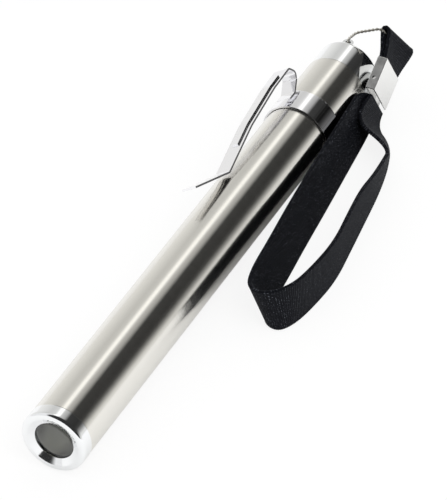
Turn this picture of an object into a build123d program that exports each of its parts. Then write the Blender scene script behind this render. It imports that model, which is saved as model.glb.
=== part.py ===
from build123d import *
import math
import os

# Pen-style examination light with a pocket clip and a wrist strap, millimetres.
#
# While it is being built, x = 0 is the front face of the bezel, the barrel's axis runs
# along +X at y = 0, and z = 0 is the surface that the light lies on. The clip is on the
# +Y side and the strap lies on the -Y side. At the end everything moves together, so
# that the origin is under the middle of the light, without its lanyard.

# ---- driving sizes: outside ------------------------------------------------------------
TUBE_DIAMETER = 14.0
TUBE_WALL = 0.75
TUBE_LENGTH = 125.2
BEZEL_LENGTH = 3.1
BEZEL_PROUD = 0.1            # the bezel's radius over the tube's
BEZEL_EDGE_ROUND = 0.8
CAP_LENGTH = 7.2
CAP_EDGE_ROUND = 1.0
CAP_WALL = 2.2               # thickness of the cap's end wall
CAP_STEP = 0.05              # the cap's radius under the tube's
BUTTON_DIAMETER = 6.4
BUTTON_PROUD = 1.2
BUTTON_TRAVEL = 1.4

# ---- driving sizes: lamp ---------------------------------------------------------------
OPENING_RADIUS = 5.7         # mouth of the cone in the bezel
WINDOW_RADIUS = 4.3          # the part of the lens that shows
CONE_DEPTH = 0.7
LIP_THICKNESS = 0.25
LENS_RADIUS = 5.2
LENS_FLANGE = 0.9
LENS_DOME = 0.6
SEAL_WIRE = 0.9
REFLECTOR_LENGTH = 5.6
REFLECTOR_WALL = 0.5
REFLECTOR_THROAT = 1.5
SKIRT_LENGTH = 5.0
BEZEL_UNSCREW = 1.5          # travel of the bezel when it is turned two full turns
BOARD_THICKNESS = 1.0
LED_SIZE = 1.6
HOLDER_LENGTH = 6.0
CONTACT_RADIUS = 1.2
CONTACT_HEAD = 0.6

# ---- driving sizes: power and switch ---------------------------------------------------
CELL_DIAMETER = 10.5
CELL_LENGTH = 44.5
CELL_NUB_RADIUS = 1.9
CELL_NUB_LENGTH = 0.8
CELL_PLAY = 0.15             # radial, between the cells and their sleeve
SLEEVE_PLAY = 0.25           # radial, between the sleeve and the tube
BATTERY_SPRING_LENGTH = 8.0
BATTERY_SPRING_RADIUS = 4.0
BATTERY_SPRING_WIRE = 0.8
SPRING_PLATE = 0.6
HOUSING_FRONT_WALL = 2.0
HOUSING_CAVITY_RADIUS = 3.2
HOUSING_CAVITY_LENGTH = 7.4
HOUSING_REAR_WALL = 2.0
PLUNGER_RADIUS = 1.6
COLLAR_RADIUS = 2.8
COLLAR_THICKNESS = 1.0
SWITCH_SPRING_WIRE = 0.6
CONTACT_RING = 0.5
RETAINER_THICKNESS = 2.0
BUTTON_FLANGE = 1.0
BUTTON_FLANGE_OVER = 1.1     # the flange's radius over the button's
FLANGE_PLAY = 0.4            # radial, between the flange and the cap's bore
BUTTON_SEAL = 0.8

# ---- driving sizes: clip ---------------------------------------------------------------
BAND_FRONT = 108.7           # where the band starts on the light
BAND_WIDTH = 6.1
CLIP_SHEET = 0.4
CLIP_WIDTH = 3.8
CLIP_ANGLE = 33.5            # from straight up towards +Y
CLIP_TOP_RISE = 4.7          # the blade's height over the tube at the knuckle
CLIP_HEEL_RISE = 0.65        # and where it comes back to the tube
CLIP_TIP_RISE = 4.6          # and at the tip of the lip
CLIP_REACH = 32.4            # from the knuckle to the heel
LIP_REACH = 11.2             # from the heel to the tip
RIB_WIDTH = 1.7
RIB_HEIGHT = 0.35
KNUCKLE_BEHIND = 0.8         # the knuckle's place behind the band
CLIP_OPENS = 6.0             # degrees

# ---- driving sizes: lanyard ------------------------------------------------------------
EYE_THICKNESS = 1.2
EYE_WIDTH = 2.4
EYE_LENGTH = 3.1
EYE_HOLE_RADIUS = 0.6
EYE_SHANK_RADIUS = 0.9
EYE_OFF_BUTTON = 1.35        # from the button's side to the eye's middle
EYE_ANGLE = 15.0             # from straight up towards +Y
LOOP_WIRE = 0.7
STRAP_WIDTH = 11.0
STRAP_THICKNESS = 0.7
CRIMP_SHEET = 0.35
CRIMP_LENGTH = 7.5
CRIMP_CORNER = (133.8, -9.7, 0.35)     # its lowest corner
CRIMP_CLIMB = 32.0           # degrees that the strap climbs where the crimp holds it
END_LOOP_LENGTH = 7.2
END_LOOP_TWIST = 20.0
END_LOOP_SHIFT = 0.6          # how far the fold's end leans to the far side

# ---- clearances ------------------------------------------------------------------------
RUNNING = 0.05               # radial, between pieces that turn or slide in each other
SEATED = 0.05                # between pieces that are pushed in and stay there
STAND_OFF = 0.1              # the band's inside over the tube
HINGE_GAP = 0.12             # at the clip's bend, where the flexing is taken

# ---- worked out ------------------------------------------------------------------------
TUBE_RADIUS = TUBE_DIAMETER / 2
BORE = TUBE_RADIUS - TUBE_WALL
INNER = BORE - SEATED
SLEEVE_INSIDE = CELL_DIAMETER / 2 + CELL_PLAY
SLEEVE_WALL = BORE - SLEEVE_PLAY - SLEEVE_INSIDE
CLIP_TOP = TUBE_RADIUS + CLIP_TOP_RISE
CLIP_HEEL = TUBE_RADIUS + CLIP_HEEL_RISE
CLIP_TIP = TUBE_RADIUS + CLIP_TIP_RISE
BAND_INSIDE = TUBE_RADIUS + STAND_OFF
BAND_OUTSIDE = BAND_INSIDE + CLIP_SHEET
AXIS_HEIGHT = BAND_OUTSIDE
TUBE_FRONT = BEZEL_LENGTH
TUBE_REAR = TUBE_FRONT + TUBE_LENGTH
CAP_RADIUS = TUBE_RADIUS - CAP_STEP
CAP_END = TUBE_REAR + CAP_LENGTH
WALL_FRONT = CAP_END - CAP_WALL
LENS_SEAT = CONE_DEPTH + LIP_THICKNESS
LENS_FRONT = LENS_SEAT + SEATED
LENS_BACK = LENS_FRONT + LENS_FLANGE
POCKET_RADIUS = LENS_RADIUS + RUNNING
REFLECTOR_FRONT = LENS_BACK + SEATED + SEAL_WIRE + SEATED
REFLECTOR_BACK = REFLECTOR_FRONT + REFLECTOR_LENGTH
HOLDER_FRONT = REFLECTOR_BACK - 0.2
BOARD_BACK = REFLECTOR_BACK + BOARD_THICKNESS
HOLDER_BACK = HOLDER_FRONT + HOLDER_LENGTH
CELLS_FRONT = HOLDER_BACK + CONTACT_HEAD
CELLS_BACK = CELLS_FRONT + 2 * CELL_LENGTH
PLATE_FRONT = CELLS_BACK + BATTERY_SPRING_LENGTH
HOUSING_FRONT = PLATE_FRONT + SPRING_PLATE
CAVITY_FRONT = HOUSING_FRONT + HOUSING_FRONT_WALL
CAVITY_BACK = CAVITY_FRONT + HOUSING_CAVITY_LENGTH
HOUSING_BACK = CAVITY_BACK + HOUSING_REAR_WALL
RETAINER_FRONT = HOUSING_BACK + CONTACT_RING
RETAINER_BACK = RETAINER_FRONT + RETAINER_THICKNESS
BUTTON_RADIUS = BUTTON_DIAMETER / 2
FLANGE_RADIUS = BUTTON_RADIUS + BUTTON_FLANGE_OVER
CAP_BORE = FLANGE_RADIUS + FLANGE_PLAY
FLANGE_BACK = WALL_FRONT - BUTTON_SEAL - 0.1
FLANGE_FRONT = FLANGE_BACK - BUTTON_FLANGE
COLLAR_BACK = CAVITY_BACK - 0.1
COLLAR_FRONT = COLLAR_BACK - COLLAR_THICKNESS
KNUCKLE_X = BAND_FRONT + BAND_WIDTH + KNUCKLE_BEHIND
HEEL_X = KNUCKLE_X - CLIP_REACH
TIP_X = HEEL_X - LIP_REACH
CRIMP_THICKNESS = 2 * STRAP_THICKNESS + 0.05 + 2 * CRIMP_SHEET
EYE_RING = BUTTON_RADIUS + EYE_OFF_BUTTON
EYE_Y = EYE_RING * math.sin(math.radians(EYE_ANGLE))
EYE_Z = AXIS_HEIGHT + EYE_RING * math.cos(math.radians(EYE_ANGLE))
EYE_HOLE_X = CAP_END + EYE_LENGTH - EYE_WIDTH / 2

# The strap's route on the floor, seen from above: out of the crimp, along the barrel,
# round the fold and back to the crimp. Chosen by hand.
STRAP_ROUTE = [
    (132.6, -8.60), (120.0, -9.1), (104.0, -10.4), (86.0, -12.3), (72.0, -14.1),
    (62.5, -14.9), (58.0, -17.2), (57.8, -20.8), (61.3, -23.5), (67.5, -24.3),
    (77.5, -24.0), (89.0, -22.7), (99.0, -21.1), (108.0, -19.2), (115.5, -17.0),
    (122.5, -13.2), (128.0, -10.2), (132.6, -9.35),
]

# The wire loop's corners, from under the eye, through it, over the cap's end, down
# through the strap's end fold and back behind the crimp. Chosen by hand.
LOOP_CORNERS = [
    (EYE_HOLE_X, EYE_Y, 9.4), (EYE_HOLE_X, EYE_Y, 13.3), (136.4, -2.2, 16.4),
    (138.8, -6.0, 17.9), (146.05, -10.3, 6.1), (142.0, -6.2, 4.4), (138.2, -3.4, 7.0),
]
LOOP_RADII = [1.4, 1.6, 2.4, 1.4, 1.4, 1.6, 2.2]


def turned(outline):
    """A solid turned about the barrel's axis from (x, radius) corners."""
    face = make_face(Polyline(*outline, close=True))
    return Pos(0, 0, AXIS_HEIGHT) * revolve(face, axis=Axis.X)


def ring(front, back, outside, inside=0.0):
    """A plain ring or disc between two places on the axis."""
    return turned([(front, inside), (back, inside), (back, outside), (front, outside)])


def coil(front, back, radius, wire, turns):
    """A compression spring whose wire lies between two places on the axis."""
    height = back - front - wire
    path = Helix(pitch=height / turns, height=height, radius=radius)
    start = Plane(origin=path @ 0, z_dir=path % 0)
    spring = sweep(start * Circle(wire / 2), path=path, is_frenet=True)
    return Pos(front + wire / 2, 0, AXIS_HEIGHT) * Rot(0, 90, 0) * spring


# ---- barrel and lamp -------------------------------------------------------------------
def main_tube():
    edge = 0.15
    return turned([
        (TUBE_FRONT, BORE), (TUBE_REAR, BORE), (TUBE_REAR, TUBE_RADIUS - edge),
        (TUBE_REAR - edge, TUBE_RADIUS), (TUBE_FRONT + edge, TUBE_RADIUS),
        (TUBE_FRONT, TUBE_RADIUS - edge),
    ])


def bezel_ring():
    outside = TUBE_RADIUS + BEZEL_PROUD
    skirt = BORE - RUNNING
    body = turned([
        (0, OPENING_RADIUS), (0, outside), (TUBE_FRONT - RUNNING, outside),
        (TUBE_FRONT - RUNNING, skirt), (TUBE_FRONT + SKIRT_LENGTH, skirt),
        (TUBE_FRONT + SKIRT_LENGTH, POCKET_RADIUS), (LENS_SEAT, POCKET_RADIUS),
        (LENS_SEAT, WINDOW_RADIUS), (CONE_DEPTH, WINDOW_RADIUS),
    ])
    rims = body.edges().filter_by(GeomType.CIRCLE)
    rim = rims.filter_by(lambda e: abs(e.radius - outside) < 1e-6).sort_by(Axis.X)[0]
    return fillet(rim, BEZEL_EDGE_ROUND)


def lens():
    """A flanged lens whose shallow dome fills the bezel's window."""
    dome = WINDOW_RADIUS - RUNNING
    crown = (LENS_FRONT - LENS_DOME, 0)
    middle = (LENS_FRONT - LENS_DOME * 0.76, dome * 0.5)
    rim = Polyline(
        (LENS_FRONT, dome), (LENS_FRONT, LENS_RADIUS), (LENS_BACK, LENS_RADIUS),
        (LENS_BACK, 0), crown,
    )
    face = make_face([ThreePointArc(crown, middle, (LENS_FRONT, dome)), rim])
    return Pos(0, 0, AXIS_HEIGHT) * revolve(face, axis=Axis.X)


def lens_seal():
    middle = LENS_BACK + SEATED + SEAL_WIRE / 2
    seal = Torus(LENS_RADIUS - SEAL_WIRE / 2, SEAL_WIRE / 2)
    return Pos(middle, 0, AXIS_HEIGHT) * Rot(0, 90, 0) * seal


def reflector():
    """A bowl that widens from the throat around the lamp to its front rim."""
    mouth = LENS_RADIUS - REFLECTOR_WALL - 0.2
    bowl = ThreePointArc(
        (REFLECTOR_FRONT, mouth),
        (REFLECTOR_FRONT + REFLECTOR_LENGTH * 0.62, (mouth + REFLECTOR_THROAT) * 0.56),
        (REFLECTOR_BACK, REFLECTOR_THROAT),
    )
    outside = LENS_RADIUS - 0.05
    shell = Polyline(
        (REFLECTOR_BACK, REFLECTOR_THROAT), (REFLECTOR_BACK, outside),
        (REFLECTOR_FRONT, outside), (REFLECTOR_FRONT, mouth),
    )
    face = make_face([bowl, shell])
    return Pos(0, 0, AXIS_HEIGHT) * revolve(face, axis=Axis.X)


def led_board():
    return ring(REFLECTOR_BACK, BOARD_BACK, LENS_RADIUS)


def led_emitter():
    """A square lamp body with a round dome, on the board inside the throat."""
    thickness = 0.5
    place = Pos(REFLECTOR_BACK - thickness / 2, 0, AXIS_HEIGHT)
    body = place * Box(thickness, LED_SIZE, LED_SIZE)
    dome = Pos(REFLECTOR_BACK - thickness, 0, AXIS_HEIGHT) * Sphere(LED_SIZE * 0.42)
    return body + (dome - ring(REFLECTOR_BACK, BOARD_BACK, LED_SIZE))


def lamp_holder():
    """The insulating cup that carries the board and the front contact."""
    return turned([
        (HOLDER_FRONT, LENS_RADIUS + SEATED), (HOLDER_FRONT, INNER),
        (HOLDER_BACK, INNER), (HOLDER_BACK, CONTACT_RADIUS + SEATED),
        (BOARD_BACK + SEATED, CONTACT_RADIUS + SEATED),
        (BOARD_BACK + SEATED, LENS_RADIUS + SEATED),
    ])


def front_contact():
    head = CONTACT_RADIUS + 1.4
    return turned([
        (BOARD_BACK + SEATED, 0), (BOARD_BACK + SEATED, CONTACT_RADIUS),
        (HOLDER_BACK, CONTACT_RADIUS), (HOLDER_BACK, head), (CELLS_FRONT, head),
        (CELLS_FRONT, 0),
    ])


# ---- cells -----------------------------------------------------------------------------
def cell(number):
    """The can of the first or the second cell, with a rolled front edge."""
    front = CELLS_FRONT + number * CELL_LENGTH + CELL_NUB_LENGTH
    back = CELLS_FRONT + (number + 1) * CELL_LENGTH
    radius = CELL_DIAMETER / 2
    roll = 0.5
    return turned([
        (front, 0), (front, radius - roll), (front + roll, radius),
        (back - roll, radius), (back, radius - roll), (back, 0),
    ])


def cell_terminals():
    """The raised positive ends of both cells."""
    nubs = []
    for number in range(2):
        front = CELLS_FRONT + number * CELL_LENGTH
        nubs.append(ring(front, front + CELL_NUB_LENGTH, CELL_NUB_RADIUS))
    return Compound(nubs)


def battery_sleeve():
    outside = SLEEVE_INSIDE + SLEEVE_WALL
    return ring(HOLDER_BACK + 0.1, PLATE_FRONT - 0.1, outside, SLEEVE_INSIDE)


def battery_spring():
    return coil(
        CELLS_BACK + SEATED, PLATE_FRONT - SEATED, BATTERY_SPRING_RADIUS,
        BATTERY_SPRING_WIRE, 5,
    )


def spring_plate():
    return ring(PLATE_FRONT, HOUSING_FRONT, BATTERY_SPRING_RADIUS + 1.2)


# ---- switch and tail -------------------------------------------------------------------
def switch_housing():
    bore = PLUNGER_RADIUS + RUNNING
    return turned([
        (HOUSING_FRONT, 0), (HOUSING_FRONT, INNER), (HOUSING_BACK, INNER),
        (HOUSING_BACK, bore), (CAVITY_BACK, bore),
        (CAVITY_BACK, HOUSING_CAVITY_RADIUS), (CAVITY_FRONT, HOUSING_CAVITY_RADIUS),
        (CAVITY_FRONT, 0),
    ])


def switch_plunger():
    nose = COLLAR_FRONT - 1.5
    return turned([
        (nose, 0), (nose, PLUNGER_RADIUS), (COLLAR_FRONT, PLUNGER_RADIUS),
        (COLLAR_FRONT, COLLAR_RADIUS), (COLLAR_BACK, COLLAR_RADIUS),
        (COLLAR_BACK, PLUNGER_RADIUS), (FLANGE_FRONT, PLUNGER_RADIUS),
        (FLANGE_FRONT, 0),
    ])


def switch_spring():
    radius = PLUNGER_RADIUS + SWITCH_SPRING_WIRE / 2 + 0.2
    return coil(CAVITY_FRONT + SEATED, COLLAR_FRONT - SEATED, radius, SWITCH_SPRING_WIRE, 5)


def switch_contact():
    return ring(HOUSING_BACK, RETAINER_FRONT, INNER, PLUNGER_RADIUS + 0.6)


def switch_retainer():
    """A ring with two slots for the key that tightens it."""
    inside = PLUNGER_RADIUS + 1.8
    body = ring(RETAINER_FRONT, RETAINER_BACK, INNER, inside)
    slots = Box(1.6, 1.2, 4 * TUBE_RADIUS)
    return body - Pos(RETAINER_BACK, 0, AXIS_HEIGHT) * slots


def tail_cap():
    spigot = INNER
    front = RETAINER_BACK
    body = turned([
        (front, CAP_BORE), (front, spigot), (TUBE_REAR, spigot),
        (TUBE_REAR, CAP_RADIUS), (CAP_END, CAP_RADIUS),
        (CAP_END, BUTTON_RADIUS + RUNNING), (WALL_FRONT, BUTTON_RADIUS + RUNNING),
        (WALL_FRONT, CAP_BORE),
    ])
    rims = body.edges().filter_by(GeomType.CIRCLE)
    rim = rims.filter_by(lambda e: abs(e.radius - CAP_RADIUS) < 1e-6).sort_by(Axis.X)[-1]
    shank = Pos(CAP_END, EYE_Y, EYE_Z) * Rot(0, 90, 0)
    hole = shank * Cylinder(EYE_SHANK_RADIUS + 0.02, 2 * CAP_WALL + 2)
    return fillet(rim, CAP_EDGE_ROUND) - hole


def push_button():
    """A flanged button with a soft edge on the face that a thumb presses."""
    face = CAP_END + BUTTON_PROUD
    edge = 0.5
    return turned([
        (FLANGE_FRONT, 0), (FLANGE_FRONT, FLANGE_RADIUS), (FLANGE_BACK, FLANGE_RADIUS),
        (FLANGE_BACK, BUTTON_RADIUS), (face - edge, BUTTON_RADIUS),
        (face, BUTTON_RADIUS - edge), (face, 0),
    ])


def button_seal():
    return ring(WALL_FRONT - BUTTON_SEAL, WALL_FRONT, CAP_BORE - 0.1, BUTTON_RADIUS + 0.15)


# ---- clip ------------------------------------------------------------------------------
def upright(shape):
    """Turns a piece drawn with +Y outwards to the side that the clip is on."""
    return Pos(0, 0, AXIS_HEIGHT) * Rot(90 - CLIP_ANGLE, 0, 0) * shape


def clip_band():
    """The ring around the tube, with the strap of sheet that climbs to the knuckle."""
    back = BAND_FRONT + BAND_WIDTH
    middle = BAND_INSIDE + CLIP_SHEET / 2
    band = ring(BAND_FRONT, back, BAND_OUTSIDE, BAND_INSIDE)
    climb = FilletPolyline(
        (back - 3.2, middle), (back - 1.0, middle), (KNUCKLE_X + 1.0, CLIP_TOP - 2.6),
        radius=1.2,
    )
    riser = extrude(trace(climb, CLIP_SHEET), CLIP_WIDTH / 2, both=True)
    return band + upright(riser)


def clip_line():
    """The bent line of the blade, from the knuckle's end to the tip of the lip."""
    turn = 0.95
    start = (KNUCKLE_X + 1.0, CLIP_TOP - 2.6 + HINGE_GAP)
    corners = [
        start, (KNUCKLE_X + 1.9, CLIP_TOP - 1.3), (KNUCKLE_X + 0.6, CLIP_TOP + 0.35),
        (HEEL_X + CLIP_REACH * 0.80, CLIP_TOP + 0.15),
        (HEEL_X + CLIP_REACH * 0.42, CLIP_TOP - 1.2), (HEEL_X, CLIP_HEEL),
        (TIP_X, CLIP_TIP),
    ]
    return FilletPolyline(*corners, radius=[turn, turn * 0.9, 6.0, 18.0, 0.9])


def clip_blade():
    """The springy blade: knuckle, long arm with a pressed rib, and the flared lip."""
    line = clip_line()
    sheet = extrude(trace(line, CLIP_SHEET), CLIP_WIDTH / 2, both=True)
    tall = trace(line, CLIP_SHEET + 2 * RIB_HEIGHT)
    rib = extrude(tall, RIB_WIDTH / 2, both=True)
    reach = CLIP_REACH * 0.69
    window = Pos(HEEL_X + CLIP_REACH * 0.585, CLIP_TOP + 1.0, 0) * Box(reach, 8, RIB_WIDTH)
    rib = rib & window
    under = trace(line, CLIP_SHEET)
    lifted = Pos(0, RIB_HEIGHT, 0) * extrude(under, RIB_WIDTH / 2, both=True)
    rib = rib & (lifted + sheet)
    return upright(sheet + rib)


# ---- lanyard ---------------------------------------------------------------------------
def lanyard_eye():
    """A flat eye on the cap's end, riveted through it by a round shank."""
    plate = Pos(CAP_END + (EYE_LENGTH - EYE_WIDTH / 2) / 2, EYE_Y, EYE_Z)
    plate = plate * Box(EYE_LENGTH - EYE_WIDTH / 2, EYE_WIDTH, EYE_THICKNESS)
    nose = Pos(EYE_HOLE_X, EYE_Y, EYE_Z)
    rounded = nose * Cylinder(EYE_WIDTH / 2, EYE_THICKNESS)
    hole = nose * Cylinder(EYE_HOLE_RADIUS, 3 * EYE_THICKNESS)
    shank = Pos(CAP_END - CAP_WALL / 2, EYE_Y, EYE_Z) * Rot(0, 90, 0)
    shank = shank * Cylinder(EYE_SHANK_RADIUS, CAP_WALL)
    return plate + rounded - hole + shank


def wire_loop():
    """A closed loop of springy wire, in straight runs joined by arcs."""
    line = FilletPolyline(*LOOP_CORNERS, radius=LOOP_RADII, close=True)
    wire = Part()
    for run in line.edges():
        start = Plane(origin=run @ 0, z_dir=run % 0)
        wire += sweep(start * Circle(LOOP_WIRE / 2), path=run)
    return wire


def crimp_plane():
    """X runs along the strap out of the crimp, Y to the far side, Z across the strap."""
    climb = math.radians(CRIMP_CLIMB)
    along = (math.cos(climb), 0, math.sin(climb))
    across = (-math.sin(climb), 0, math.cos(climb))
    return Plane(origin=CRIMP_CORNER, x_dir=along, z_dir=across)


def strap_crimp():
    """A strip of sheet folded over the strap's top edge and pressed flat on it."""
    width = STRAP_WIDTH + CRIMP_SHEET + 0.2
    outer = Box(CRIMP_LENGTH, CRIMP_THICKNESS, width, align=(Align.MIN,) * 3)
    slot = Box(
        CRIMP_LENGTH, CRIMP_THICKNESS - 2 * CRIMP_SHEET, width - CRIMP_SHEET,
        align=(Align.MIN,) * 3,
    )
    dent = Pos(CRIMP_LENGTH * 0.35, CRIMP_THICKNESS * 0.55, width + 0.3) * Sphere(0.5)
    return crimp_plane() * (outer - Pos(0, CRIMP_SHEET, 0) * slot - dent)


def strap_end_loop():
    """The strap's short end fold, from inside the crimp to the wire, with its twist."""
    thick = CRIMP_THICKNESS - 2 * CRIMP_SHEET - 0.05
    low = CRIMP_SHEET + 0.025
    place = crimp_plane()
    inner = Pos(CRIMP_LENGTH * 0.55, low, 0.1)
    inner = inner * Box(CRIMP_LENGTH * 0.45, thick, STRAP_WIDTH, align=(Align.MIN,) * 3)
    flat = Plane(origin=(CRIMP_LENGTH, low + thick / 2, 0.1 + STRAP_WIDTH / 2),
                 x_dir=(0, 1, 0), z_dir=(1, 0, 0))
    far = Plane(origin=(CRIMP_LENGTH + END_LOOP_LENGTH, low + thick / 2 + END_LOOP_SHIFT,
                        0.1 + STRAP_WIDTH / 2), x_dir=(0, 1, 0), z_dir=(1, 0, 0))
    near_end = flat * Rectangle(thick, STRAP_WIDTH)
    far_end = far * Rot(0, 0, -END_LOOP_TWIST) * Rectangle(thick + 0.8, STRAP_WIDTH)
    body = loft([near_end.face(), far_end.face()], ruled=True)
    top, bottom = Vector(*LOOP_CORNERS[3]), Vector(*LOOP_CORNERS[4])
    way = Plane(origin=(top + bottom) / 2, z_dir=(bottom - top).normalized())
    hole = way * Cylinder(LOOP_WIRE / 2 + 0.1, 2 * STRAP_WIDTH)
    return place * (inner + body) - hole


def strap_line():
    """The strap's route with every corner rounded as far as its two runs allow."""
    points = [Vector(x, y, 0) for x, y in STRAP_ROUTE]
    radii = []
    for before, here, after in zip(points, points[1:], points[2:]):
        turn = math.radians((here - before).get_angle(after - here))
        shorter = min((here - before).length, (after - here).length)
        radii.append(0.45 * shorter / math.tan(turn / 2))
    print("strap radii:", [round(r, 1) for r in radii])
    return FilletPolyline(*points, radius=radii)


def wrist_strap():
    """The strap standing on its edge on the floor, ending at the crimp's lower edge."""
    line = strap_line()
    band = extrude(trace(line, STRAP_THICKNESS), STRAP_WIDTH)
    print("strap length:", round(line.length, 1))
    taken = crimp_plane() * Box(40, 40, 60, align=(Align.MIN, Align.CENTER, Align.CENTER))
    return band - Pos(-0.05, 0, 0) * taken


OBJECT = {
    "main_tube": main_tube, "bezel_ring": bezel_ring, "lens": lens,
    "lens_seal": lens_seal, "reflector": reflector, "led_board": led_board,
    "led_emitter": led_emitter, "lamp_holder": lamp_holder,
    "front_contact": front_contact, "cell_front": lambda: cell(0),
    "cell_rear": lambda: cell(1), "cell_terminals": cell_terminals,
    "battery_sleeve": battery_sleeve, "battery_spring": battery_spring,
    "spring_plate": spring_plate, "switch_housing": switch_housing,
    "switch_plunger": switch_plunger, "switch_spring": switch_spring,
    "switch_contact": switch_contact, "switch_retainer": switch_retainer,
    "tail_cap": tail_cap, "push_button": push_button, "button_seal": button_seal,
    "clip_band": clip_band, "clip_blade": clip_blade, "lanyard_eye": lanyard_eye,
}
LANYARD = {
    "wire_loop": wire_loop, "strap_crimp": strap_crimp,
    "strap_end_loop": strap_end_loop, "wrist_strap": wrist_strap,
}


def main():
    os.makedirs("parts", exist_ok=True)
    pieces = {name: make() for name, make in OBJECT.items()}
    boxes = [piece.bounding_box() for piece in pieces.values()]
    low, high = (Vector(*[pick(getattr(corner, side) for corner in corners) for side in "XYZ"])
                 for pick, corners in ((min, [b.min for b in boxes]),
                                       (max, [b.max for b in boxes])))
    shift = Pos(-(low.X + high.X) / 2, -(low.Y + high.Y) / 2, -low.Z)
    pieces.update({name: make() for name, make in LANYARD.items()})
    for name, piece in pieces.items():
        export_step(shift * piece, f"parts/{name}.step")
    places = {
        "front rim": (0, (OPENING_RADIUS + TUBE_RADIUS) / 2, AXIS_HEIGHT),
        "axis": (0, 0, AXIS_HEIGHT),
        "clip hinge": (KNUCKLE_X + 1.0, CLIP_TOP - 2.6 + HINGE_GAP / 2),
        "eye hole": (EYE_HOLE_X, EYE_Y, EYE_Z),
        "crimp corner": CRIMP_CORNER,
        "switch spring front": (CAVITY_FRONT + SEATED, 0, AXIS_HEIGHT),
    }
    print("shift:", shift.position)
    for name, place in places.items():
        print(name, place)


main()
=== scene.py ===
# %% [markdown]
# # A steel pen light with a pocket clip and a wrist strap
# The hard parts of this light come from a CAD model, which fixes every size. This
# notebook gives them their finishes and adds what CAD draws badly: the woven strap, its
# short end fold and the twisted wire loop. Everything is in metres, in the CAD's frame.

# %% Load the frame
import bpy
import bmesh
import math
from mathutils import Matrix, Vector


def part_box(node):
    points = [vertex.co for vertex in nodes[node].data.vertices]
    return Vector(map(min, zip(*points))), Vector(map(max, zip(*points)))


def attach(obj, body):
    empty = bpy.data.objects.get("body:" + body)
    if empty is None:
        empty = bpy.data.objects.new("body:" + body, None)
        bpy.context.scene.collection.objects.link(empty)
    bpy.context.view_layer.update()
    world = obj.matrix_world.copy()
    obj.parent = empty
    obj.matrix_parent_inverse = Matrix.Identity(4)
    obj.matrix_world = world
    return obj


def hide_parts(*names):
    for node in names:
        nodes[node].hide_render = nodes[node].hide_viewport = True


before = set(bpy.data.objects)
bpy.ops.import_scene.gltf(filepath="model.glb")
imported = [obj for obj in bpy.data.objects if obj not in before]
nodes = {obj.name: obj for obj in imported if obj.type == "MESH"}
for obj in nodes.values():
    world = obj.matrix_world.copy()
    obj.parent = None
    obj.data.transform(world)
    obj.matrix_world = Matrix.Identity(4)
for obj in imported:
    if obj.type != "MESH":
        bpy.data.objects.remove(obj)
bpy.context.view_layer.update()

MM = 0.001
print("nodes:", len(nodes))

# %% [markdown]
# The light was drawn with x = 0 at the front face of the bezel and the barrel's axis at
# y = 0. The same way of counting is handy here, so one helper turns such a place, in
# millimetres, into a point of the frame. It reads where the bezel and tube really are.

# %% Places on the light
bezel_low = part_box("bezel_ring")[0]
tube_low, tube_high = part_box("main_tube")
FRONT_X = bezel_low.x
AXIS_Y = (tube_low.y + tube_high.y) / 2
AXIS_Z = (tube_low.z + tube_high.z) / 2
TUBE_R = (tube_high.z - tube_low.z) / 2


def at(x, y, z):
    """A point from millimetres behind the bezel's face, off the axis and off the floor."""
    return Vector((FRONT_X + x * MM, AXIS_Y + y * MM, z * MM))


print("barrel radius in mm:", round(TUBE_R / MM, 2))

# %% [markdown]
# ## The camera
# The light is seen from a distance with a long lens, which keeps the barrel's two edges
# nearly parallel. The camera is placed backwards: first its direction, then the
# distance at which the bezel's middle lands where it should in the frame.

# %% Camera
AZIMUTH = math.radians(-63.5)
ELEVATION = math.radians(39.5)
DISTANCE = 0.919
RIGHT_OF_VIEW = -0.03346
BELOW_VIEW = 0.03774
LENS = 338.4
FARTHEST_SEEN = 10

back = Vector((
    math.sin(AZIMUTH) * math.cos(ELEVATION),
    -math.cos(AZIMUTH) * math.cos(ELEVATION),
    math.sin(ELEVATION),
))
right = Vector((0, 0, 1)).cross(back).normalized()
up = back.cross(right)

camera_data = bpy.data.cameras.new("camera")
camera_data.lens = LENS
camera_data.clip_end = FARTHEST_SEEN
camera = bpy.data.objects.new("camera", camera_data)
bpy.context.collection.objects.link(camera)
bezel_middle = Vector((FRONT_X, AXIS_Y, AXIS_Z))
camera.location = bezel_middle + back * DISTANCE - right * RIGHT_OF_VIEW + up * BELOW_VIEW
camera.rotation_euler = Matrix((right, up, back)).transposed().to_euler()
bpy.context.scene.camera = camera
print("camera at", [round(v, 3) for v in camera.location])

# %% [markdown]
# ## Small tools for materials
# Every finish is a Principled surface with some procedural detail. These helpers make
# the common steps short: a new material, a node with its values, and a link.

# %% Material helpers
# Noise from 0 to 1 spends nearly all its time between these two.
NOISE_LOW = 0.3
NOISE_HIGH = 0.7


def new_material(name, colour, rough, **sockets):
    """A Principled material. Plain values are set on the shader's own sockets."""
    material = bpy.data.materials.new(name)
    material.use_nodes = True
    shader = material.node_tree.nodes["Principled BSDF"]
    shader.inputs["Base Color"].default_value = (*colour, 1)
    shader.inputs["Roughness"].default_value = rough
    for socket, value in sockets.items():
        shader.inputs[socket.replace("_", " ")].default_value = value
    return material, shader


def add_node(material, kind, **settings):
    """A node of that kind, with its properties and numbered or named inputs set."""
    node = material.node_tree.nodes.new(kind)
    for key, value in settings.items():
        if key in node.inputs:
            node.inputs[key].default_value = value
        else:
            setattr(node, key, value)
    return node


def link(material, output, target):
    """Wires one node's output to another's input."""
    material.node_tree.links.new(output, target)


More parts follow.
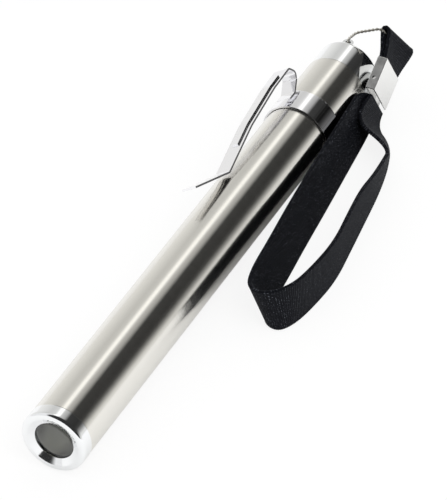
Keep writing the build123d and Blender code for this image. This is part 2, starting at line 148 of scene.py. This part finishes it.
def stretched_noise(material, stretch, detail=3.0):
    """Noise in object space, squeezed differently along x, y and z."""
    place = add_node(material, "ShaderNodeTexCoord")
    mapping = add_node(material, "ShaderNodeMapping")
    mapping.inputs["Scale"].default_value = stretch
    noise = add_node(material, "ShaderNodeTexNoise")
    noise.inputs["Scale"].default_value = 1.0
    noise.inputs["Detail"].default_value = detail
    link(material, place.outputs["Object"], mapping.inputs["Vector"])
    link(material, mapping.outputs["Vector"], noise.inputs["Vector"])
    return noise.outputs["Fac"]


def add_range(material, value, low, high):
    """Turns noise into a value between low and high."""
    spread = add_node(material, "ShaderNodeMapRange")
    spread.inputs["From Min"].default_value = NOISE_LOW
    spread.inputs["From Max"].default_value = NOISE_HIGH
    spread.inputs["To Min"].default_value = low
    spread.inputs["To Max"].default_value = high
    link(material, value, spread.inputs["Value"])
    return spread.outputs["Result"]


def add_bump(material, shader, height, strength, distance):
    """Raises the surface by a height, without moving its mesh."""
    bump = add_node(material, "ShaderNodeBump")
    bump.inputs["Strength"].default_value = strength
    bump.inputs["Distance"].default_value = distance
    link(material, height, bump.inputs["Height"])
    link(material, bump.outputs["Normal"], shader.inputs["Normal"])
    return bump


# %% [markdown]
# ## Brushed steel
# The barrel was brushed while it turned, so its scratches run round it. They blur
# reflections along the barrel and leave them crisp across it. The anisotropy does that
# blur, and thin rings of noise break up the edges of the reflections. Streaks in a
# picture could show the same scratches, but only a surface that really blurs one way
# looks right from every side.

# %% Brushed barrel
STREAKS = 0.8
QUARTER_TURN = 0.25
# Rings of noise are very thin along the barrel and long round it.
RING_STRETCH = (5200, 160, 160)


def brushed_steel(name, colour, rough):
    """Steel with scratches round the barrel."""
    material, shader = new_material(name, colour, rough, Metallic=1.0, Anisotropic=STREAKS)
    shader.inputs["Anisotropic Rotation"].default_value = QUARTER_TURN
    tangent = add_node(material, "ShaderNodeTangent", direction_type="RADIAL", axis="X")
    link(material, tangent.outputs["Tangent"], shader.inputs["Tangent"])
    rings = stretched_noise(material, RING_STRETCH, detail=2.0)
    link(material, add_range(material, rings, rough * 0.85, rough * 1.2),
         shader.inputs["Roughness"])
    add_bump(material, shader, rings, strength=0.12, distance=0.02 * MM)
    return material


brushed_tube = brushed_steel("brushed_tube", (0.76, 0.745, 0.705), 0.17)
nickel = brushed_steel("nickel", (0.66, 0.64, 0.60), 0.3)
spring_steel = brushed_steel("spring_steel", (0.60, 0.60, 0.58), 0.25)
print("brushed finishes:", [m.name for m in (brushed_tube, nickel, spring_steel)])

# %% [markdown]
# ## Bright chrome
# Polished chrome is nearly a mirror. Real pieces have been held, so faint smears change
# the roughness from place to place, and a very low bump keeps reflections alive. A
# perfect mirror would be quicker to make and would look drawn. Bent sheet also has
# edges that catch the light, so those finishes round their edges a little.

# %% Chrome
SMEARS = (420, 420, 420)
WAVES = (240, 240, 240)


def polished(name, colour, rough, smear, edge=0.0):
    """A near mirror. Sheet metal's sawn edges are rounded by that radius."""
    material, shader = new_material(name, colour, rough, Metallic=1.0)
    cloud = stretched_noise(material, SMEARS, detail=4.0)
    link(material, add_range(material, cloud, rough, rough + smear),
         shader.inputs["Roughness"])
    slow = stretched_noise(material, WAVES, detail=1.0)
    bump = add_bump(material, shader, slow, strength=0.05, distance=0.1 * MM)
    if edge:
        rounded = add_node(material, "ShaderNodeBevel", samples=4)
        rounded.inputs["Radius"].default_value = edge
        link(material, rounded.outputs["Normal"], bump.inputs["Normal"])
    return material


bright_chrome = polished("bright_chrome", (0.86, 0.87, 0.88), 0.04, 0.05)
clip_steel = polished("clip_steel", (0.88, 0.88, 0.90), 0.05, 0.06, edge=0.12 * MM)
crimp_chrome = polished("crimp_chrome", (0.84, 0.84, 0.83), 0.10, 0.12, edge=0.15 * MM)

reflector_silver = polished("reflector_silver", (0.44, 0.44, 0.40), 0.32, 0.10)
brass = polished("brass", (0.78, 0.58, 0.28), 0.18, 0.12)
print("polished finishes:", [m.name for m in (bright_chrome, clip_steel, crimp_chrome,
                                              reflector_silver, brass)])

# %% [markdown]
# ## The clip's edges in painted shade
# The clip is stamped from sheet, so its two long edges were sheared. Their dark is painted
# shade, which makes them read as thin dark lines beside the bright face. Those faces all
# look the same way, square to the clip, so the finish itself can find them and no second
# material is needed.

# %% Painted shade on the clip's edges
CLIP_LEAN = math.radians(33.5)
CLIP_SIDEWAYS = (0, math.cos(CLIP_LEAN), -math.sin(CLIP_LEAN))
# The colour of the painted shade on the clip's sideways faces.
PAINTED_SHADE_COLOUR = (0.13, 0.13, 0.135, 1)
# How squarely a face must look sideways, from where the darkening starts to where it
# is complete. 1 is exactly sideways.
SHADE_STARTS = 0.93
SHADE_COMPLETE = 0.97


def paint_side_shade(material, sideways):
    """Paints shade on the faces that look sideways, the sheet's sheared edges, as a dark
    colour.
    """
    shader = material.node_tree.nodes["Principled BSDF"]
    way = add_node(material, "ShaderNodeNewGeometry")
    along = add_node(material, "ShaderNodeVectorMath", operation="DOT_PRODUCT")
    link(material, way.outputs["True Normal"], along.inputs[0])
    along.inputs[1].default_value = sideways
    squarely = add_node(material, "ShaderNodeMath", operation="ABSOLUTE")
    link(material, along.outputs["Value"], squarely.inputs[0])
    # Painted shade: how much of the dark colour a face gets, by the way it looks.
    shaded = add_node(material, "ShaderNodeMapRange")
    shaded.inputs["From Min"].default_value = SHADE_STARTS
    shaded.inputs["From Max"].default_value = SHADE_COMPLETE
    link(material, squarely.outputs[0], shaded.inputs["Value"])
    tone = add_node(material, "ShaderNodeMixRGB")
    tone.inputs["Color1"].default_value = shader.inputs["Base Color"].default_value
    tone.inputs["Color2"].default_value = PAINTED_SHADE_COLOUR
    link(material, shaded.outputs["Result"], tone.inputs["Fac"])
    link(material, tone.outputs["Color"], shader.inputs["Base Color"])


paint_side_shade(clip_steel, CLIP_SIDEWAYS)
print("cut edges look along", [round(v, 2) for v in CLIP_SIDEWAYS])

# %% [markdown]
# ## Plastic, rubber, card and paint
# The pieces inside are moulded, wound or printed. A fine grain in the bump and a small
# change of tone are enough to tell them apart when the light is taken to pieces. One
# helper serves them all, because only colour, gloss and grain size differ.

# %% Dull finishes
DARKER = 0.8
LIGHTER = 1.15


def grained(name, colour, rough, grain, strength, **sockets):
    """A dull finish with a fine grain, whose tone changes a little with the grain."""
    material, shader = new_material(name, colour, rough, **sockets)
    speckle = stretched_noise(material, (grain, grain, grain), detail=5.0)
    mix = add_node(material, "ShaderNodeMixRGB", blend_type="MIX")
    mix.inputs["Color1"].default_value = (*[c * DARKER for c in colour], 1)
    mix.inputs["Color2"].default_value = (*[min(1, c * LIGHTER) for c in colour], 1)
    link(material, speckle, mix.inputs["Fac"])
    link(material, mix.outputs["Color"], shader.inputs["Base Color"])
    add_bump(material, shader, speckle, strength, distance=0.05 * MM)
    return material


black_plastic = grained("black_plastic", (0.03, 0.03, 0.032), 0.45, 2500, 0.3)
black_rubber = grained("black_rubber", (0.022, 0.022, 0.024), 0.6, 1800, 0.5)
board_white = grained("board_white", (0.72, 0.72, 0.70), 0.5, 1200, 0.1)
sleeve_card = grained("sleeve_card", (0.70, 0.68, 0.60), 0.6, 900, 0.2)
cell_case = grained("cell_case", (0.07, 0.20, 0.12), 0.35, 700, 0.05)
print("dull finishes:", [m.name for m in (black_plastic, black_rubber, board_white,
                                          sleeve_card, cell_case)])

# %% [markdown]
# ## Clear pieces
# The lens is one clear moulding, so it is given real see-through plastic, and the dark
# of the reflector shows through it. The lamp behind it has a yellow layer under its
# dome, which is what makes its white light.

# %% Lens and lamp
def clear(name, colour, rough, bend):
    """See-through plastic that bends light by that index, with faint moulding waves."""
    material, shader = new_material(name, colour, rough, IOR=bend)
    shader.inputs["Transmission Weight"].default_value = 1.0
    waves = stretched_noise(material, (160, 160, 160), detail=1.0)
    add_bump(material, shader, waves, strength=0.04, distance=0.1 * MM)
    return material


clear_lens = clear("clear_lens", (0.93, 0.94, 0.93), 0.02, 1.49)
lamp_yellow = grained("lamp_yellow", (0.80, 0.66, 0.18), 0.25, 1500, 0.1)
print("lens and lamp:", clear_lens.name, lamp_yellow.name)

# %% [markdown]
# ## Which node wears which finish
# Each CAD node keeps its shape, so its finish only has to be put in its material slot.

# %% Put the finishes on
FINISHES = {
    "main_tube": brushed_tube, "bezel_ring": bright_chrome, "lens": clear_lens,
    "lens_seal": black_rubber, "reflector": reflector_silver, "led_board": board_white,
    "led_emitter": lamp_yellow, "lamp_holder": black_plastic, "front_contact": brass,
    "cell_front": cell_case, "cell_rear": cell_case, "cell_terminals": nickel,
    "battery_sleeve": sleeve_card, "battery_spring": spring_steel,
    "spring_plate": brass, "switch_housing": black_plastic, "switch_plunger": brass,
    "switch_spring": spring_steel, "switch_contact": brass, "switch_retainer": brass,
    "tail_cap": bright_chrome, "push_button": black_rubber, "button_seal": black_rubber,
    "clip_band": clip_steel, "clip_blade": clip_steel, "lanyard_eye": bright_chrome,
    "strap_crimp": crimp_chrome,
}


def put_on(piece, material):
    piece.data.materials.clear()
    piece.data.materials.append(material)


for name, material in FINISHES.items():
    put_on(nodes[name], material)
print("finished nodes:", len(FINISHES))

# %% [markdown]
# ## The strap's route
# The strap is one flat band that stands on its edge. Its middle follows a smooth spline
# and a second spline says which way it leans, so the two together give a ruled surface
# that can tilt towards the barrel and twist before the crimp. Simulated cloth would
# fall over, while this stiff band keeps the shape it was folded into, so its points
# are listed.

# %% Route
STRAP_WIDTH = 11.0
STRAP_THICKNESS = 0.7
RIB_PITCH = 0.5
CRIMP_RISE = 0.1
# Where the lower edge stands on the floor, and which way the strap rises from there.
STRAP_ROUTE = [
    ((132.6, -8.60), (-0.53, 0.00, 0.85)), ((128.2, -9.20), (-0.30, 0.20, 0.93)),
    ((121.5, -10.2), (-0.05, 0.24, 0.97)), ((110.5, -11.4), (0.00, 0.29, 0.96)),
    ((97.0, -12.9), (0.00, 0.33, 0.94)), ((84.0, -14.2), (0.00, 0.34, 0.94)),
    ((72.0, -15.6), (0.00, 0.34, 0.94)), ((63.3, -16.3), (-0.08, 0.32, 0.94)),
    ((58.9, -17.6), (-0.19, 0.30, 0.94)), ((57.7, -20.9), (-0.16, 0.18, 0.97)),
    ((61.3, -22.9), (-0.08, 0.02, 0.99)), ((67.5, -23.9), (-0.03, 0.00, 1.00)),
    ((77.0, -24.5), (0.00, 0.00, 1.00)), ((88.0, -23.0), (-0.06, 0.00, 1.00)),
    ((98.0, -21.6), (-0.26, -0.03, 0.96)), ((107.5, -20.2), (-0.52, -0.12, 0.85)),
    ((116.0, -18.3), (-0.68, -0.20, 0.70)), ((123.0, -15.6), (-0.74, -0.36, 0.60)),
    ((127.5, -10.2), (-0.70, 0.25, 0.69)), ((132.6, -9.35), (-0.53, 0.00, 0.85)),
]


def spline_points(points, resolution=40):
    """Points along the smooth curve that has these corners as its controls."""
    curve = bpy.data.curves.new("route", "CURVE")
    curve.dimensions = "3D"
    spline = curve.splines.new("NURBS")
    spline.points.add(len(points) - 1)
    for control, point in zip(spline.points, points):
        control.co = (*point, 1)
    spline.order_u = 3
    spline.use_endpoint_u = True
    spline.resolution_u = resolution
    holder = bpy.data.objects.new("route", curve)
    mesh = bpy.data.meshes.new_from_object(holder)
    line = [vertex.co.copy() for vertex in mesh.vertices]
    bpy.data.meshes.remove(mesh)
    bpy.data.objects.remove(holder)
    bpy.data.curves.remove(curve)
    return line


half_width = STRAP_WIDTH * MM / 2
middles, tops = [], []
for (x, y), lean in STRAP_ROUTE:
    across = Vector(lean).normalized()
    foot = at(x, y, CRIMP_RISE)
    middles.append(foot + across * half_width)
    tops.append(foot + across * half_width * 2)
strap_middle = spline_points(middles)
strap_top = spline_points(tops)
strap_length = sum((b - a).length for a, b in zip(strap_middle, strap_middle[1:]))
print("strap length in mm:", round(strap_length / MM, 1))

# %% [markdown]
# ## Weaving a flat band
# A band is swept as a closed cross-section along the line. Each row swells and sinks a
# little, which makes the ribs that run across such webbing, and the two edges carry a
# thicker bead where the weft turns back. The rows are a fraction of a rib apart.

# %% Band mesh
ROWS_PER_RIB = 4
RIB_SWELL = 0.035
BEAD_SWELL = 0.05
BEAD_STARTS = 0.93
COLUMNS = 22


def evenly(line, others, step):
    """The line again with points a step apart, and the others at the same places."""
    along = [0.0]
    for a, b in zip(line, line[1:]):
        along.append(along[-1] + (b - a).length)
    count = max(2, round(along[-1] / step))
    lines = [[] for _ in range(1 + len(others))]
    index = 0
    for row in range(count + 1):
        target = along[-1] * row / count
        while index < len(along) - 2 and along[index + 1] < target:
            index += 1
        part = (target - along[index]) / max(along[index + 1] - along[index], 1e-12)
        for source, result in zip([line, *others], lines):
            result.append(source[index].lerp(source[index + 1], min(max(part, 0), 1)))
    return lines


def band_section(columns, width, thickness):
    """Places round a flat section: (across from -1 to 1, side, where it lies)."""
    section = []
    edge = thickness / 2
    for side in (1, -1):
        for column in range(columns + 1):
            across = (column / columns * 2 - 1) * side
            section.append((across * (width / 2 - edge), side * edge, across))
        for turn in (1, 2):
            angle = math.pi * turn / 3
            section.append((side * (width / 2 - edge + edge * math.sin(angle)),
                            side * edge * math.cos(angle), side))
    return section


def woven_band(name, line, top, width, thickness, material):
    """A closed woven band along a line, as wide as the way from line to top says."""
    step = RIB_PITCH * MM / ROWS_PER_RIB
    rows, edges = evenly(line, [top], step)
    section = band_section(COLUMNS, width, thickness)
    mesh = bmesh.new()
    uv_layer = mesh.loops.layers.uv.new("weave")
    rings = []
    for number, (point, edge) in enumerate(zip(rows, edges)):
        ahead = rows[min(number + 1, len(rows) - 1)] - rows[max(number - 1, 0)]
        across = (edge - point).normalized()
        normal = ahead.normalized().cross(across).normalized()
        rib = RIB_SWELL * MM * math.cos(2 * math.pi * number / ROWS_PER_RIB)
        ring = []
        for offset, height, place in section:
            bead = BEAD_SWELL * MM if abs(place) > BEAD_STARTS else 0.0
            lift = (rib + bead) * (1 if height > 0 else -1)
            ring.append(mesh.verts.new(point + across * offset + normal * (height + lift)))
        rings.append(ring)
    for number, (a, b) in enumerate(zip(rings, rings[1:])):
        for column in range(len(section)):
            after = (column + 1) % len(section)
            face = mesh.faces.new((a[column], a[after], b[after], b[column]))
            face.smooth = True
            for loop, (row, col) in zip(face.loops, ((0, column), (0, column + 1),
                                                     (1, column + 1), (1, column))):
                spot = section[col % len(section)]
                loop[uv_layer].uv = ((number + row) * step / MM, spot[0] / MM)
    mesh.faces.new(rings[0][::-1])
    mesh.faces.new(rings[-1])
    bmesh.ops.recalc_face_normals(mesh, faces=mesh.faces)
    data = bpy.data.meshes.new(name)
    mesh.to_mesh(data)
    mesh.free()
    piece = bpy.data.objects.new(name, data)
    bpy.context.collection.objects.link(piece)
    put_on(piece, material)
    return piece


# %% [markdown]
# ## Black webbing
# The yarn is black with a touch of blue. Tiny pale flecks are painted highlights, put
# where a thread lies over the others and catches the light, and a soft sheen lifts the
# faces that turn away.
# The weave is worked out from two crossed waves, so it follows the band round its fold.

# %% Webbing
YARN_DARK = (0.002, 0.0025, 0.0048, 1)
# The colour of the painted highlights on the thread crowns.
PAINTED_GLINT = (0.26, 0.28, 0.32, 1)
WARP_PITCH = 0.42
FLECKS_PER_MM = 4.5


def webbing(name):
    """Woven yarn, laid out by the band's own length and width in millimetres."""
    material, shader = new_material(name, (0.012, 0.014, 0.020), 0.72)
    shader.inputs["Sheen Weight"].default_value = 0.05
    shader.inputs["Sheen Roughness"].default_value = 0.45
    shader.inputs["Sheen Tint"].default_value = (0.55, 0.58, 0.66, 1)
    shader.inputs["Specular IOR Level"].default_value = 0.12
    place = add_node(material, "ShaderNodeUVMap", uv_map="weave")
    split = add_node(material, "ShaderNodeSeparateXYZ")
    link(material, place.outputs["UV"], split.inputs["Vector"])

    def wave(socket, pitch):
        """A sine of the place along or across the band, from 0 to 1."""
        scaled = add_node(material, "ShaderNodeMath", operation="MULTIPLY")
        link(material, socket, scaled.inputs[0])
        scaled.inputs[1].default_value = 2 * math.pi / pitch
        sine = add_node(material, "ShaderNodeMath", operation="SINE")
        link(material, scaled.outputs[0], sine.inputs[0])
        lifted = add_node(material, "ShaderNodeMath", operation="MULTIPLY_ADD")
        link(material, sine.outputs[0], lifted.inputs[0])
        lifted.inputs[1].default_value = 0.5
        lifted.inputs[2].default_value = 0.5
        return lifted.outputs[0]

    warp = wave(split.outputs["Y"], WARP_PITCH)
    weft = wave(split.outputs["X"], RIB_PITCH)
    over = add_node(material, "ShaderNodeMath", operation="MULTIPLY")
    link(material, warp, over.inputs[0])
    link(material, weft, over.inputs[1])
    flecks = add_node(material, "ShaderNodeTexNoise")
    flecks.inputs["Scale"].default_value = FLECKS_PER_MM
    flecks.inputs["Detail"].default_value = 2.0
    link(material, place.outputs["UV"], flecks.inputs["Vector"])
    # Painted highlights: pale flecks where the weave's threads lie over the others.
    bright = add_node(material, "ShaderNodeMapRange")
    bright.inputs["From Min"].default_value = 0.58
    bright.inputs["From Max"].default_value = 0.72
    link(material, flecks.outputs["Fac"], bright.inputs["Value"])
    painted_glints = add_node(material, "ShaderNodeMath", operation="MULTIPLY")
    link(material, bright.outputs["Result"], painted_glints.inputs[0])
    link(material, over.outputs[0], painted_glints.inputs[1])
    tone = add_node(material, "ShaderNodeMixRGB")
    tone.inputs["Color1"].default_value = YARN_DARK
    tone.inputs["Color2"].default_value = PAINTED_GLINT
    link(material, painted_glints.outputs[0], tone.inputs["Fac"])
    link(material, tone.outputs["Color"], shader.inputs["Base Color"])
    add_bump(material, shader, over.outputs[0], strength=0.6, distance=0.12 * MM)
    return material


black_webbing = webbing("black_webbing")
print("webbing:", black_webbing.name)

# %% [markdown]
# ## The wrist strap
# Both ends of the strap lie in the crimp, so it goes back into the object there. It
# stands in for the plain CAD band and swings with the lanyard.

# %% Wrist strap
strap = woven_band("strap_webbing", strap_middle, strap_top, STRAP_WIDTH * MM,
                   STRAP_THICKNESS * MM, black_webbing)
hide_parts("wrist_strap")
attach(strap, "lanyard")
print("strap faces:", len(strap.data.polygons))

# %% [markdown]
# ## The end fold
# Past the crimp the strap makes a short fold over the wire loop. The fold is drawn as
# a hairpin: out along one side, round the wire, and back along the other, while it
# turns a little so that its top leans towards the barrel.

# %% End fold
CRIMP_CLIMB = math.radians(32.0)
CRIMP_CORNER = at(133.8, -9.7, 0.35)
CRIMP_LENGTH = 7.5
END_LOOP = 7.2
END_TWIST = math.radians(20.0)
END_SHIFT = 0.6
FOLD_SMOOTHNESS = 16
climb = Vector((math.cos(CRIMP_CLIMB), 0, math.sin(CRIMP_CLIMB)))
across_crimp = Vector((-math.sin(CRIMP_CLIMB), 0, math.cos(CRIMP_CLIMB)))
far_side = Vector((0, 1, 0))


def crimp_place(along, aside, high):
    """A point counted along the strap, to the far side and across, in millimetres."""
    return CRIMP_CORNER + (climb * along + far_side * aside + across_crimp * high) * MM


def hairpin():
    """The fold's middle line and its top edge, out and back.

    Each pair of the outline says how far along the strap and how far to the far side.
    """
    line, top = [], []
    start, end = CRIMP_LENGTH * 0.6, CRIMP_LENGTH + END_LOOP
    outline = [(start, 0.72), (CRIMP_LENGTH + 0.5, 0.70), (end - 2.4, 0.35),
               (end - 0.6, 0.30), (end, 1.10), (end - 0.6, 1.90), (end - 2.4, 1.85),
               (CRIMP_LENGTH + 0.5, 1.45), (start, 1.43)]
    for along, aside in outline:
        part = max(0.0, (along - CRIMP_LENGTH) / END_LOOP)
        turn = END_TWIST * part
        shift = END_SHIFT * part
        middle = crimp_place(along, aside + shift, 0.1 + STRAP_WIDTH / 2)
        lean = across_crimp * math.cos(turn) + far_side * math.sin(turn)
        line.append(middle)
        top.append(middle + lean * half_width)
    return spline_points(line, FOLD_SMOOTHNESS), spline_points(top, FOLD_SMOOTHNESS)


fold_line, fold_top = hairpin()
end_fold = woven_band("end_fold_webbing", fold_line, fold_top, STRAP_WIDTH * MM,
                      STRAP_THICKNESS * MM, black_webbing)
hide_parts("strap_end_loop")
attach(end_fold, "lanyard")
print("end fold faces:", len(end_fold.data.polygons))

# %% [markdown]
# ## The wire loop
# The loop is two bright wires twisted together. A single tube would do from afar, but
# the twist is what makes it glitter. Each strand follows the loop's smooth line as a
# fine helix. The line is closed, so the number of turns is a whole number.

# %% Wire loop
WIRE = 0.7
TWIST_PITCH = 1.7
STRAND_SPOKES = 8
STRAND_STEP = 0.12
ARC_STEPS = 8
LOOP_CORNERS = [
    (137.4, 1.178, 9.4), (137.4, 1.178, 13.4), (136.8, -0.9, 16.2),
    (138.6, -5.8, 17.7), (146.05, -10.3, 6.1), (142.0, -6.2, 4.4), (138.2, -3.4, 7.0),
]


def rounded_loop(corners, radii):
    """The closed line of straight runs and arcs through those corners."""
    points = []
    count = len(corners)
    for number in range(count):
        here = corners[number]
        before = (corners[number - 1] - here).normalized()
        after = (corners[(number + 1) % count] - here).normalized()
        half = before.angle(after) / 2
        reach = radii[number] / math.tan(half)
        inward = (before + after).normalized()
        centre = here + inward * (radii[number] / math.sin(half))
        first = here + before * reach - centre
        last = here + after * reach - centre
        turn = first.angle(last)
        for step in range(ARC_STEPS + 1):
            part = step / ARC_STEPS
            blend = (first * math.sin(turn * (1 - part)) + last * math.sin(turn * part))
            points.append(centre + blend / math.sin(turn))
    return points


LOOP_RADII = [1.4, 1.6, 2.4, 1.4, 1.4, 1.6, 2.2]
loop_line = rounded_loop([at(*corner) for corner in LOOP_CORNERS],
                         [radius * MM for radius in LOOP_RADII])
loop_line.append(loop_line[0])
print("wire loop in mm:", round(sum((b - a).length for a, b in
                                    zip(loop_line, loop_line[1:])) / MM, 1))


def twisted_pair(name, line, diameter, pitch, material):
    """Two strands wound round a closed line, as one mesh of two tubes."""
    (rows,) = evenly(line, [], STRAND_STEP * MM)
    rows = rows[:-1]
    count = len(rows)
    total = sum((rows[(i + 1) % count] - rows[i]).length for i in range(count))
    turns = round(total / pitch)
    strand = diameter / 4
    mesh = bmesh.new()
    side = Vector((0, 0, 1)).orthogonal()
    frames = []
    for number, point in enumerate(rows):
        ahead = (rows[(number + 1) % count] - rows[number - 1]).normalized()
        side = (side - ahead * side.dot(ahead)).normalized()
        frames.append((point, side.copy(), ahead.cross(side)))
    closing = frames[0][1].angle(side)
    for strand_number in range(2):
        rings = []
        for number, (point, side, other) in enumerate(frames):
            part = number / count
            angle = 2 * math.pi * turns * part + math.pi * strand_number
            angle += closing * part
            centre = point + (side * math.cos(angle) + other * math.sin(angle)) * strand
            ring = []
            for spoke in range(STRAND_SPOKES):
                spin = 2 * math.pi * spoke / STRAND_SPOKES
                ring.append(mesh.verts.new(
                    centre + (side * math.cos(spin) + other * math.sin(spin)) * strand))
            rings.append(ring)
        for number in range(count):
            a, b = rings[number], rings[(number + 1) % count]
            for spoke in range(STRAND_SPOKES):
                after = (spoke + 1) % STRAND_SPOKES
                mesh.faces.new((a[spoke], a[after], b[after], b[spoke])).smooth = True
    bmesh.ops.recalc_face_normals(mesh, faces=mesh.faces)
    data = bpy.data.meshes.new(name)
    mesh.to_mesh(data)
    mesh.free()
    piece = bpy.data.objects.new(name, data)
    bpy.context.collection.objects.link(piece)
    put_on(piece, material)
    return piece


wire_silver = polished("wire_silver", (0.62, 0.60, 0.55), 0.22, 0.15)
wire = twisted_pair("wire_twist", loop_line, WIRE * MM, TWIST_PITCH * MM, wire_silver)
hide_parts("wire_loop")
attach(wire, "lanyard")
print("wire faces:", len(wire.data.polygons))

# %% [markdown]

# %% [markdown]
# ## The floor
# The light lies on a white table. A plain white surface would turn grey in the shade
# round it, so most of what the camera sees of the floor is its own glow. The rest is a
# dull white that keeps a faint shadow under the barrel and the strap.

# %% Floor
FLOOR_HALF = 3.0
FLOOR_DROP = 0.2
GLOW_SHARE = 0.87


def pale_floor():
    """A wide white floor, a hair below the light, that glows only for the camera."""
    mesh = bpy.data.meshes.new("floor")
    size = FLOOR_HALF
    mesh.from_pydata([(-size, -size, 0), (size, -size, 0), (size, size, 0),
                      (-size, size, 0)], [], [(0, 1, 2, 3)])
    floor = bpy.data.objects.new("floor", mesh)
    bpy.context.collection.objects.link(floor)
    floor.location.z = -FLOOR_DROP * MM
    material, shader = new_material("floor_white", (0.90, 0.90, 0.895), 0.9)
    shader.inputs["Specular IOR Level"].default_value = 0.0
    path = add_node(material, "ShaderNodeLightPath")
    glow = add_node(material, "ShaderNodeEmission", Strength=1.0)
    amount = add_node(material, "ShaderNodeMath", operation="MULTIPLY")
    link(material, path.outputs["Is Camera Ray"], amount.inputs[0])
    amount.inputs[1].default_value = GLOW_SHARE
    mix = add_node(material, "ShaderNodeMixShader")
    output = material.node_tree.nodes["Material Output"]
    link(material, amount.outputs[0], mix.inputs["Fac"])
    link(material, shader.outputs["BSDF"], mix.inputs[1])
    link(material, glow.outputs["Emission"], mix.inputs[2])
    link(material, mix.outputs["Shader"], output.inputs["Surface"])
    put_on(floor, material)
    return floor


print("floor:", pale_floor().name)

# %% [markdown]
# ## The studio
# Bright metal shows its surroundings, so the surroundings are the light. The world is
# white overhead and grey at the sides, with one long dark zone such as a dark studio
# wall makes. Panels and lamps could be built for real, but a world drawn by direction
# has no edges to hide. Only reflections see it: everything else sees an even white.

# %% World
# How bright the surroundings are behind the light, by the angle round the barrel: from
# straight down on the far side, over the top, to straight down on the near side, each
# as a share of the way round and a grey.
SURROUNDINGS = [
    (0.0, 0.95), (0.24, 0.95), (0.31, 0.84), (0.39, 0.66), (0.435, 0.72),
    (0.462, 1.35), (0.478, 1.30), (0.495, 0.62), (0.53, 0.42), (0.556, 0.045),
    (0.64, 0.030), (0.672, 0.06), (0.70, 0.30), (0.735, 0.85), (1.0, 0.95),
]
# In front of the bezel all is bright, but for a dark corner where the camera stands.
IN_FRONT = 0.92
FRONT_ENDS = (-0.25, 0.15)
DARK_CORNER = 0.03
CORNER_EDGE = (0.52, 0.66)


def studio_world():
    """A world that glossy surfaces see as a studio, and all else as plain white."""
    world = bpy.data.worlds.new("studio")
    bpy.context.scene.world = world
    world.use_nodes = True
    tree = world.node_tree
    tree.nodes.clear()

    def node(kind, inputs=(), **settings):
        """A node with its settings, fed by sockets or plain values in order."""
        made = tree.nodes.new(kind)
        for key, value in settings.items():
            setattr(made, key, value)
        for number, value in enumerate(inputs):
            if isinstance(value, bpy.types.NodeSocket):
                tree.links.new(value, made.inputs[number])
            elif value is not None:
                made.inputs[number].default_value = value
        return made

    def step_between(value, low, high):
        """0 below the low value, 1 above the high one, and a smooth step between."""
        made = node("ShaderNodeMapRange", [value, low, high, 0.0, 1.0],
                    interpolation_type="SMOOTHSTEP")
        return made.outputs["Result"]

    place = node("ShaderNodeTexCoord").outputs["Generated"]
    split = node("ShaderNodeSeparateXYZ", [place])
    flip = node("ShaderNodeMath", [split.outputs["Y"], -1.0], operation="MULTIPLY")
    angle = node("ShaderNodeMath", [flip.outputs[0], split.outputs["Z"]],
                 operation="ARCTAN2")
    share = node("ShaderNodeMath", [angle.outputs[0], 1 / (2 * math.pi), 0.5],
                 operation="MULTIPLY_ADD")
    ramp = node("ShaderNodeValToRGB", [share.outputs[0]])
    stops = ramp.color_ramp.elements
    while len(stops) < len(SURROUNDINGS):
        stops.new(0.5)
    for stop, (position, grey) in zip(stops, SURROUNDINGS):
        stop.position = position
        stop.color = (grey, grey * 0.995, grey * 0.97, 1)
    behind = step_between(split.outputs["X"], *FRONT_ENDS)
    front = (IN_FRONT, IN_FRONT, IN_FRONT, 1)
    around = node("ShaderNodeMixRGB", [behind, front, ramp.outputs["Color"]])
    towards = node("ShaderNodeVectorMath", [place, tuple(back)],
                   operation="DOT_PRODUCT")
    corner = step_between(towards.outputs["Value"], *CORNER_EDGE)
    dark = (DARK_CORNER, DARK_CORNER, DARK_CORNER, 1)
    shown = node("ShaderNodeMixRGB", [corner, around.outputs["Color"], dark])
    path = node("ShaderNodeLightPath")
    even = node("ShaderNodeBackground", [(1.0, 1.0, 1.0, 1), 1.0])
    seen = node("ShaderNodeBackground", [shown.outputs["Color"], 1.0])
    mix = node("ShaderNodeMixShader", [path.outputs["Is Glossy Ray"],
                                       even.outputs[0], seen.outputs[0]])
    node("ShaderNodeOutputWorld", [mix.outputs["Shader"]])


studio_world()
print("world:", bpy.context.scene.world.name)

# %% [markdown]
# ## The key light
# One broad soft lamp gives the strap and the floor a direction of light. The metal
# doesn't show it, because the studio already holds every highlight that it needs.

# %% Key light
def soft_lamp(name, place, size, watts):
    """A square lamp that points at the light's middle and leaves no reflection."""
    data = bpy.data.lights.new(name, "AREA")
    data.shape = "RECTANGLE"
    data.size, data.size_y = size
    data.energy = watts
    lamp = bpy.data.objects.new(name, data)
    bpy.context.collection.objects.link(lamp)
    lamp.location = place
    lamp.rotation_euler = (-Vector(place)).to_track_quat("-Z", "Y").to_euler()
    lamp.visible_glossy = False


soft_lamp("key", (-0.2, -0.35, 0.6), (0.4, 0.4), 1.5)
bpy.context.scene.view_settings.view_transform = "Standard"
print("lamps:", [lamp.name for lamp in bpy.data.lights])
